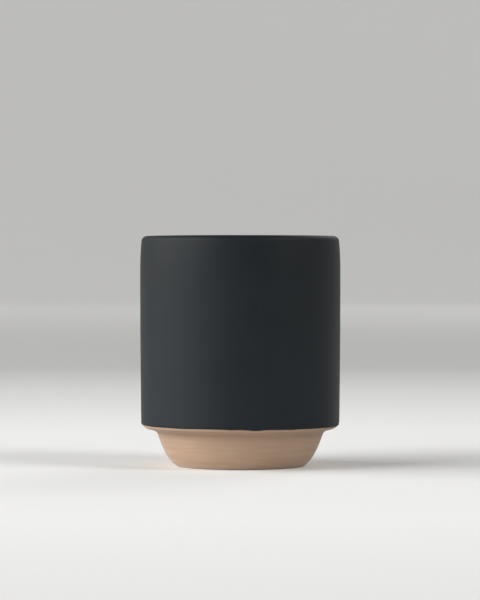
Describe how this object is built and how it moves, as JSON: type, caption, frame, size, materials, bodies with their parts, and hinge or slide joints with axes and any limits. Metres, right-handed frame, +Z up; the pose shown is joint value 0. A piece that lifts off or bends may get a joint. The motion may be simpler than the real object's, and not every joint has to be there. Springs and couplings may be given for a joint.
{
  "type": "stackable mug",
  "caption": "Handle-less stackable stoneware mug: dark slate glaze outside and in, over a bare clay foot that nests in the mouth of the next.",
  "frame": {"origin": "centre of the foot ring's resting face, which is the middle of the base", "axes": "+Z up along the mug's turning axis, from the foot to the mouth; +X and -Y (the front of the picture) are free choices on a turned form"},
  "size_m": [0.08, 0.08, 0.0917],
  "materials": {
    "bare_clay": "unglazed fired stoneware, matte, pinkish beige, with fine turning lines",
    "outer_glaze": "satin matte slate grey glaze",
    "liner_glaze": "satin slate grey glaze, a little glossier where it pools"
  },
  "bodies": {
    "root": {"stoneware_body": "bare_clay", "outer_glaze": "outer_glaze", "liner_glaze": "liner_glaze"}
  },
  "joints": []
}
